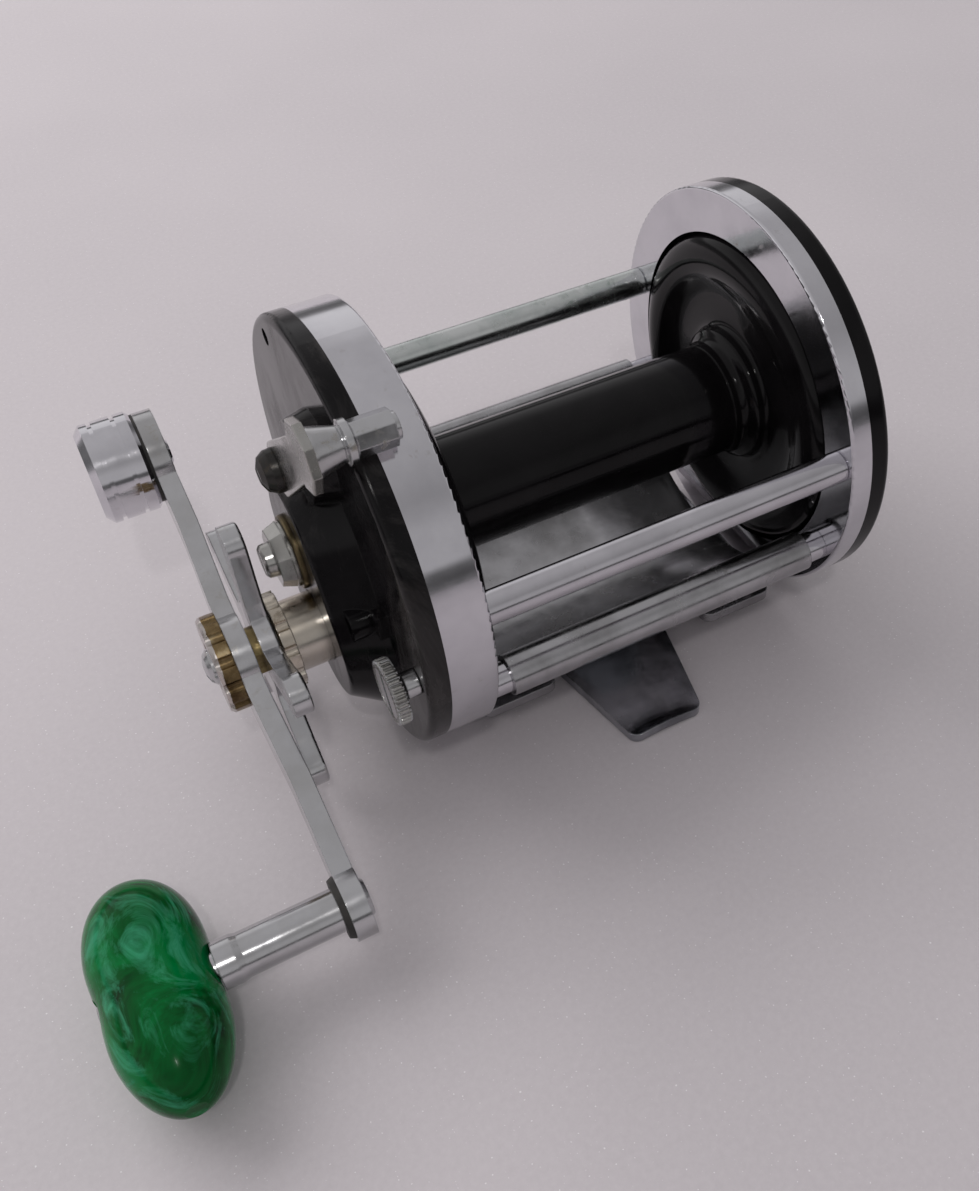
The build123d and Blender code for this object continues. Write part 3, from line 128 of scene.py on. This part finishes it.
def metal(name, bright, dull, stain, stain_amount, polish, scratch=0.15, scale=1.0,
          edge=soft_edge, waves=0.0):
    """Plated metal: clean plating, cloudy dull patches, stains that spread from spots, fine scratches.

    polish is the lowest and highest roughness, scale makes the patches finer, and waves dents the sheet.
    """
    m = Mat(name, Metallic=1.0)
    cloud = m.noise(90 * scale, 5, 0.6)
    spots = m.noise(420 * scale, 6, 0.65, 0.4)
    plating = m.mix(m.ramp(cloud, (0.4, 0.0), (0.7, 1.0)), bright, dull)
    start = 0.62 - 0.22 * stain_amount
    stained = m.math("MULTIPLY", m.ramp(spots, (start, 0.0), (start + 0.24, 1.0)),
                     m.ramp(m.noise(38 * scale, 3), (0.4, 0.0), (0.7, 1.0)))
    m.color(m.mix(stained, plating, stain))
    smudge = m.ramp(m.noise(160 * scale, 6, 0.6, 0.3), (0.3, polish[0]), (0.75, polish[1]))
    m.rough(m.mix(stained, smudge, (0.5, 0.5, 0.5)))
    lines = m.noise(900, 3, 0.6, vector=m.mapped((0.12, 1, 1)))
    dents = m.math("MULTIPLY", m.noise(60, 1), waves)
    m.bump(m.math("ADD", lines, dents), scratch, 0.00002, edge)
    return m.m


def resin(name, tone, polish, dust, scuff=0.0):
    """Black moulded resin: rubbed patches, dust specks, fine scratches and, with scuff, grey wipes."""
    m = Mat(name, IOR=1.4, Specular_IOR_Level=0.24)
    rub = m.noise(70, 6, 0.62, 0.5)
    specks = m.ramp(m.noise(2600, 2), (0.7, 0.0), (0.76, 1.0))
    rubbed_tone = tuple(c * 1.9 + 0.003 for c in tone)
    body = m.mix(m.ramp(rub, (0.35, 0.0), (0.8, 1.0)), tone, rubbed_tone)
    gloss = m.ramp(rub, (0.3, polish[0]), (0.8, polish[1]))
    if scuff:
        wiped = m.noise(55, 7, 0.72, 0.8, m.mapped((1, 1.0, 0.45), (0.5, 0, 0)))
        patches = m.math("MULTIPLY", m.ramp(wiped, (0.47, 0.0), (0.66, 1.0)), scuff)
        body = m.mix(patches, body, (0.075, 0.068, 0.067))
        gloss = m.mix(patches, gloss, (0.42, 0.42, 0.42))
    m.color(m.mix(m.math("MULTIPLY", specks, dust), body, (0.2, 0.18, 0.17)))
    m.rough(gloss)
    scratches = m.noise(700, 3, 0.7, vector=m.mapped((0.08, 1, 1), (0.4, 0.9, 0.2)))
    m.bump(m.math("ADD", scratches, m.noise(1500, 2)), 0.1, 0.00003, soft_edge)
    return m.m


def matt(name, roughness, mottle, dark, light, grain, grain_depth):
    """Matt washer material: a mottled tone and a fine grain. mottle is a noise scale and its detail."""
    m = Mat(name, Roughness=roughness)
    m.color(m.ramp(m.noise(*mottle), (0.3, dark), (0.8, light)))
    m.bump(m.noise(grain), grain_depth)
    return m.m


def castle_nut():
    """Nickel still on the nut's outer face, and brown brass behind it, in the notches."""
    m = Mat("nut_metal", Metallic=1.0)
    worn = m.noise(260, 5, 0.6)
    depth = m.node("SeparateXYZ", Vector=m.coord).outputs["X"]
    wear_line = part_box("handle_nut")[0].x + 0.1 * mm
    behind = m.math("GREATER_THAN", m.math("ADD", depth, m.math("MULTIPLY", worn, -1.2 * mm)), wear_line)
    nickel = m.ramp(worn, (0.3, (0.5, 0.45, 0.42)), (0.7, (0.58, 0.55, 0.53)))
    brass = m.ramp(worn, (0.3, (0.06, 0.035, 0.015)), (0.55, (0.24, 0.17, 0.085)), (0.75, (0.46, 0.4, 0.27)))
    m.color(m.mix(behind, nickel, brass))
    m.rough(m.ramp(worn, (0.3, 0.18), (0.7, 0.38)))
    m.bump(worn, 0.15, 0.00005, soft_edge)
    return m.m


def marbled_resin():
    """Deep green resin with broad milky swirls drawn through it."""
    m = Mat("knob_marble", Roughness=0.13, IOR=1.4, Specular_IOR_Level=0.2)
    warp = m.node("TexNoise", Vector=m.mapped((1.0, 0.7, 1.0)), Scale=30.0, Detail=2.0)
    folded = m.node("VectorMath", Vector=warp.outputs["Color"])
    folded.operation = "MULTIPLY_ADD"
    folded.inputs[1].default_value = (0.07, 0.07, 0.07)
    m.put(folded.inputs[2], m.mapped((0.5, 1.0, 0.9), (0.5, 0.1, 0.6)))
    swirl = m.noise(70, 5, 0.62, 0.5, folded.outputs["Vector"])
    body = m.ramp(swirl, (0.32, (0.0, 0.02, 0.003)), (0.42, (0.0, 0.075, 0.013)), (0.52, (0.0, 0.15, 0.032)),
                  (0.62, (0.001, 0.16, 0.045)), (0.7, (0.02, 0.26, 0.125)))
    veil = m.ramp(m.noise(95, 6, 0.66, 1.6, folded.outputs["Vector"]), (0.5, 0.0), (0.68, 0.8))
    m.color(m.mix(veil, body, (0.045, 0.32, 0.17)))
    m.b.inputs["Subsurface Weight"].default_value = 0.08
    m.b.inputs["Subsurface Radius"].default_value = (0.2, 1.0, 0.35)
    m.b.inputs["Subsurface Scale"].default_value = 0.001
    m.bump(m.noise(240, 3), 0.04)
    return m.m


# ------------------------------------------------------------------ finishes
chrome_ring = metal("ring_chrome", (0.7, 0.69, 0.725), (0.61, 0.6, 0.635), (0.3, 0.26, 0.2), 0.0,
                    polish=(0.06, 0.18), scratch=0.06, edge=0.0)
chrome_arm = metal("arm_plate", (0.57, 0.57, 0.585), (0.46, 0.455, 0.455), (0.3, 0.25, 0.16), 0.2,
                   polish=(0.1, 0.26), scratch=0.1)
pillar_bright = metal("pillar_bright", (0.62, 0.605, 0.64), (0.53, 0.515, 0.545), (0.26, 0.22, 0.16), 0.0,
                      polish=(0.08, 0.2), scratch=0.08)
pillar_green = metal("pillar_tarnished", (0.7, 0.72, 0.71), (0.5, 0.55, 0.53), (0.2, 0.26, 0.22), 0.4,
                     polish=(0.14, 0.32), scratch=0.1)
stand_metal = metal("stand_plate", (0.46, 0.455, 0.47), (0.3, 0.295, 0.3), (0.16, 0.15, 0.13), 0.0,
                    polish=(0.12, 0.34), scratch=0.3, waves=25.0)
foot_metal = metal("foot_plate", (0.42, 0.43, 0.455), (0.17, 0.175, 0.19), (0.03, 0.03, 0.03), 0.5,
                   polish=(0.04, 0.14), scratch=0.5, waves=60.0)
nickel_worn = metal("nickel_worn", (0.46, 0.455, 0.44), (0.36, 0.35, 0.325), (0.18, 0.15, 0.1), 0.15,
                    polish=(0.16, 0.32), scratch=0.1)
collar_metal = metal("collar_metal", (0.6, 0.56, 0.5), (0.5, 0.44, 0.36), (0.16, 0.1, 0.04), 0.35,
                     polish=(0.14, 0.3), scratch=0.15, scale=0.8)
brass_aged = metal("brass_aged", (0.42, 0.34, 0.17), (0.27, 0.2, 0.09), (0.07, 0.045, 0.018), 1.0,
                   polish=(0.2, 0.42), scratch=0.2)
washer_brown = metal("washer_brown", (0.2, 0.16, 0.09), (0.12, 0.09, 0.05), (0.04, 0.025, 0.01), 0.8,
                     polish=(0.25, 0.45), scratch=0.2)
brass_clean = metal("brass_clean", (0.66, 0.5, 0.24), (0.5, 0.36, 0.16), (0.2, 0.13, 0.06), 0.4,
                    polish=(0.2, 0.4))
steel = metal("steel", (0.5, 0.5, 0.51), (0.36, 0.36, 0.37), (0.16, 0.1, 0.06), 0.5,
              polish=(0.2, 0.4))
dark_steel = metal("dark_steel", (0.05, 0.048, 0.046), (0.03, 0.028, 0.026), (0.12, 0.09, 0.06), 0.3,
                   polish=(0.25, 0.45))
black_plate = resin("black_plate", (0.0035, 0.003, 0.0035), polish=(0.1, 0.26), dust=0.04)
black_head = resin("black_head", (0.0035, 0.003, 0.0035), polish=(0.1, 0.26), dust=0.05, scuff=0.5)
black_spool = resin("black_spool", (0.003, 0.0026, 0.003), polish=(0.06, 0.16), dust=0.02)
dark_washer = matt("dark_washer", 0.6, (300,), (0.012, 0.012, 0.012), (0.05, 0.045, 0.04), 1200, 0.3)
fibre = matt("fibre", 0.8, (700, 5), (0.16, 0.08, 0.05), (0.3, 0.17, 0.1), 1800, 0.4)
nut_metal = castle_nut()
knob_marble = marbled_resin()

finish_of = {
    "handle_side_ring": chrome_ring, "tail_side_ring": chrome_ring,
    "front_upper_pillar": pillar_bright, "rear_upper_pillar": pillar_green,
    "front_lower_pillar": pillar_bright, "rear_lower_pillar": pillar_bright,
    "handle_ring_screws": steel, "tail_plate_screws": nickel_worn,
    "handle_side_plate": black_head, "tail_side_plate": black_plate,
    "reel_stand": stand_metal, "reel_foot": foot_metal, "foot_rivets": steel,
    "bridge_plate": brass_clean, "bridge_screws": steel, "gear_post": steel, "dog_screw": steel,
    "takedown_bush": brass_clean, "yoke_springs": steel,
    "spool_shaft": steel, "click_wheel": steel,
    "pinion": brass_clean, "pinion_yoke": brass_clean,
    "gear_sleeve": brass_aged, "main_gear": brass_clean, "fibre_drag_washers": fibre,
    "keyed_drag_washers": steel, "drag_spring_washer": steel, "drag_collar": collar_metal,
    "anti_reverse_ratchet": steel, "crank_arm": chrome_arm, "handle_nut": nut_metal,
    "handle_screw": chrome_arm, "counterweight": chrome_ring, "counterweight_washer": dark_washer,
    "knob_spindle": chrome_arm, "spindle_washer": dark_washer, "knob_rivet": chrome_arm,
    "star_wheel": chrome_arm, "knob": knob_marble, "anti_reverse_dog": steel,
    "free_spool_cam": steel, "free_spool_lever": nickel_worn, "lever_thumb_knob": chrome_arm,
    "handle_cap_washer": washer_brown,
    "lever_screw": dark_steel, "handle_bearing_cap": nickel_worn, "handle_cap_bushing": brass_clean,
    "tail_bearing_cap": nickel_worn, "tail_cap_bushing": brass_clean, "takedown_screw": chrome_arm,
    "click_button": chrome_arm, "click_pawl": steel,
}

# ------------------------------------------------------------------ shapes made here


def add_object(name, verts, faces, material):
    mesh = bpy.data.meshes.new(name)
    mesh.from_pydata(verts, [], faces)
    mesh.materials.append(material)
    o = bpy.data.objects.new(name, mesh)
    bpy.context.collection.objects.link(o)
    return o


def rounded_outline(points, steps=6):
    """Catmull-Rom curve through (along, radius) points."""
    last = len(points) - 1
    curve = []
    for i in range(last):
        p0, p1, p2, p3 = (Vector(points[min(max(j, 0), last)]) for j in range(i - 1, i + 3))
        for k in range(steps):
            u = k / steps
            curve.append(0.5 * (2 * p1 + (p2 - p0) * u + (2 * p0 - 5 * p1 + 4 * p2 - p3) * u * u
                                + (3 * p1 - p0 - 3 * p2 + p3) * u ** 3))
    curve.append(Vector(points[last]))
    return curve


def lathe(name, outline, centre_y, centre_z, material, segments=96):
    """Solid turned about the X line through the centre, with its two ends closed."""
    verts, faces = [], []
    for along, radius in outline:
        for k in range(segments):
            a = 2 * math.pi * k / segments
            verts.append((along, centre_y + radius * math.cos(a), centre_z + radius * math.sin(a)))
    rows = len(outline)
    for i in range(rows - 1):
        here, beyond = i * segments, (i + 1) * segments
        for k in range(segments):
            n = (k + 1) % segments
            faces.append((beyond + k, beyond + n, here + n, here + k))
    faces.append(tuple(range(segments)))
    faces.append(tuple(range((rows - 1) * segments, rows * segments))[::-1])
    o = add_object(name, verts, faces, material)
    for polygon in o.data.polygons:
        polygon.use_smooth = len(polygon.vertices) == 4
    return o


def spool_body():
    """Rolled flange lips, dished flange faces and a bead at each end of the arbor."""
    low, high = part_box("spool")
    rim = (high.z - low.z) / 2 / mm
    arbor = 9.9
    # (from the flange's outer face, radius), in mm
    face = [(0.0, 2.4), (0.0, 14.0), (0.0, 24.0)]
    lip = [(0.02, rim - 1.6), (0.35, rim - 0.55), (1.2, rim - 0.03), (2.4, rim - 0.15), (3.7, rim - 1.0),
           (4.5, rim - 2.6), (4.7, rim - 4.3)]
    dish = [(4.3, rim - 6.2), (3.4, rim - 8.0), (2.7, rim - 9.8), (2.4, 16.8), (2.4, 14.0), (2.7, 12.7)]
    bead = [(3.3, 12.1), (4.0, 12.05), (4.7, 11.9), (5.3, 11.2), (5.9, 10.4)]
    root = [(6.7, 10.0), (8.0, 9.92), (9.5, arbor)]
    half = face + lip + dish + bead + root
    points = [(low.x + x * mm, r * mm) for x, r in half]
    points += [(-0.01, arbor * mm), (0.01, arbor * mm)]
    points += [(high.x - x * mm, r * mm) for x, r in reversed(half)]
    o = lathe("spool_body", rounded_outline(points), (low.y + high.y) / 2, (low.z + high.z) / 2, black_spool)
    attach(o, "spool")
    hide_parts("spool")


def takedown_knurl(teeth=34, steps=4):
    """Ring of square teeth round the take-down screw's disc; each tooth has two steps up and two down."""
    low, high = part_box("takedown_screw")
    centre_y, centre_z = (low.y + high.y) / 2, (low.z + high.z) / 2
    disc = (high.z - low.z) / 2 / mm
    # (along, radius, how much further along a groove lies, how much lower a groove lies), in mm
    rows = [(-0.08, disc - 1.15, 0.0, 0.0), (-0.08, disc - 0.6, 0.12, 0.0), (0.3, disc + 0.1, 0.0, 0.45),
            (1.7, disc + 0.1, 0.0, 0.45), (2.06, disc - 0.5, 0.0, 0.0), (2.06, disc - 1.15, 0.0, 0.0)]
    count = teeth * steps
    verts, faces = [], []
    for along, radius, sunk, cut in rows:
        for k in range(count):
            groove = k % steps >= steps // 2
            r = (radius - (cut if groove else 0.0)) * mm
            x = low.x + (along + (sunk if groove else 0.0)) * mm
            a = 2 * math.pi * (k + (0.25 if k % 2 else 0.0)) / count
            verts.append((x, centre_y + r * math.cos(a), centre_z + r * math.sin(a)))
    for i in range(len(rows)):
        j = (i + 1) % len(rows)
        for k in range(count):
            n = (k + 1) % count
            faces.append((i * count + k, j * count + k, j * count + n, i * count + n))
    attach(add_object("takedown_knurl", verts, faces, nickel_worn), "takedown")


spool_body()
takedown_knurl()

for name, material in finish_of.items():
    shown = nodes[name]
    shown.data.materials.clear()
    shown.data.materials.append(material)

# ------------------------------------------------------------------ floor, light, camera


def floor_stone():
    """Pale stone: slow changes of tone, a fine grain, and small glints painted into its colour as near-white
    specks.
    """
    m = Mat("floor_top", Roughness=0.55)
    grain = m.noise(900, 3, 0.7)
    tone = m.ramp(m.noise(9, 3), (0.3, (0.56, 0.52, 0.545)), (0.8, (0.62, 0.575, 0.6)))
    stone = m.mix(m.ramp(grain, (0.3, 0.0), (0.8, 0.35)), tone, (0.72, 0.68, 0.7))
    # Painted glints: tiny near-white specks in the base colour stand in for light sparkling off the stone
    painted_glints = m.ramp(m.noise(2300, 0), (0.79, 0.0), (0.83, 0.6))
    m.color(m.mix(painted_glints, stone, (0.95, 0.93, 0.95)))
    m.bump(grain, 0.1, 0.0002)
    return m.m


reach = 3.0
corners = [(-reach, -reach, 0), (reach, -reach, 0), (reach, reach, 0), (-reach, reach, 0)]
add_object("floor", corners, [(0, 1, 2, 3)], floor_stone())


def area_light(name, place, aim, size, power, colour=(1, 1, 1), glossy=True):
    lamp = bpy.data.lights.new(name, "AREA")
    lamp.shape = "RECTANGLE"
    lamp.size, lamp.size_y = size
    lamp.energy = power
    lamp.color = colour
    o = bpy.data.objects.new(name, lamp)
    bpy.context.collection.objects.link(o)
    o.location = place
    o.rotation_euler = (Vector(aim) - Vector(place)).to_track_quat("-Z", "Y").to_euler()
    o.visible_glossy = glossy


area_light("window", (-0.5, 0.9, 0.75), (0, 0.05, 0.03), (1.2, 0.8), 10.0, (1.0, 0.985, 0.98), False)
area_light("bulb", (-0.17, -0.5, 0.85), (-0.09, -0.03, 0.03), (0.04, 0.06), 0.8, (1.0, 0.98, 0.97))


def room():
    """A dim ceiling, a paler band of wall, a dark line of furniture, and more light from the far left.

    The metal mirrors this. The camera itself sees one plain pale tone behind the floor.
    """
    world = bpy.data.worlds.new("room")
    bpy.context.scene.world = world
    world.use_nodes = True
    t = world.node_tree
    back = t.nodes["Background"]
    back.inputs["Strength"].default_value = 1.0

    def node(kind, operation=None, *values):
        n = t.nodes.new("ShaderNode" + kind)
        if operation:
            n.operation = operation
        for socket, value in zip(n.inputs, values):
            if isinstance(value, bpy.types.NodeSocket):
                t.links.new(value, socket)
            else:
                socket.default_value = value
        return n

    direction = node("TexCoord").outputs["Generated"]
    height = node("SeparateXYZ", None, direction)
    level = node("Math", "MULTIPLY_ADD", height.outputs["Z"], 0.5, 0.5)
    ramp = node("ValToRGB", None, level.outputs[0])
    # (0 straight down to 1 straight up, brightness)
    bands = ((0.0, 0.25), (0.5, 0.2), (0.53, 0.1), (0.57, 0.16), (0.6, 0.62), (0.74, 0.56), (0.84, 0.4),
             (1.0, 0.46))
    stops = ramp.color_ramp.elements
    while len(stops) < len(bands):
        stops.new(0.5)
    for stop, (place, value) in zip(stops, bands):
        stop.position = place
        stop.color = (value, value * 0.985, value, 1)
    toward = node("VectorMath", "DOT_PRODUCT", direction, (-0.6, 0.75, 0.1))
    side = node("Math", "MULTIPLY_ADD", toward.outputs["Value"], 0.32, 1.0)
    lit = node("VectorMath", "SCALE", ramp.outputs["Color"])
    t.links.new(side.outputs[0], lit.inputs["Scale"])
    seen = node("LightPath").outputs["Is Camera Ray"]
    shown = node("MixRGB", None, seen, lit.outputs[0], (0.5, 0.48, 0.49, 1))
    t.links.new(shown.outputs["Color"], back.inputs["Color"])


room()

# The camera stands in front of the handle side, looking down at the reel
camera_place = Vector((-0.0758, -0.1512, 0.1753))
azimuth, elevation, roll = (math.radians(a) for a in (27.93, -46.13, -1.59))
lens = bpy.data.cameras.new("camera")
lens.sensor_width = 36.0
lens.lens = 37.78
lens.shift_x = -0.0924
lens.clip_start = 0.01
camera = bpy.data.objects.new("camera", lens)
turned = Matrix.Rotation(-azimuth, 4, "Z") @ Matrix.Rotation(math.pi / 2 + elevation, 4, "X")
camera.matrix_world = Matrix.Translation(camera_place) @ turned @ Matrix.Rotation(roll, 4, "Z")
bpy.context.collection.objects.link(camera)
bpy.context.scene.camera = camera
bpy.context.scene.view_settings.view_transform = "Standard"
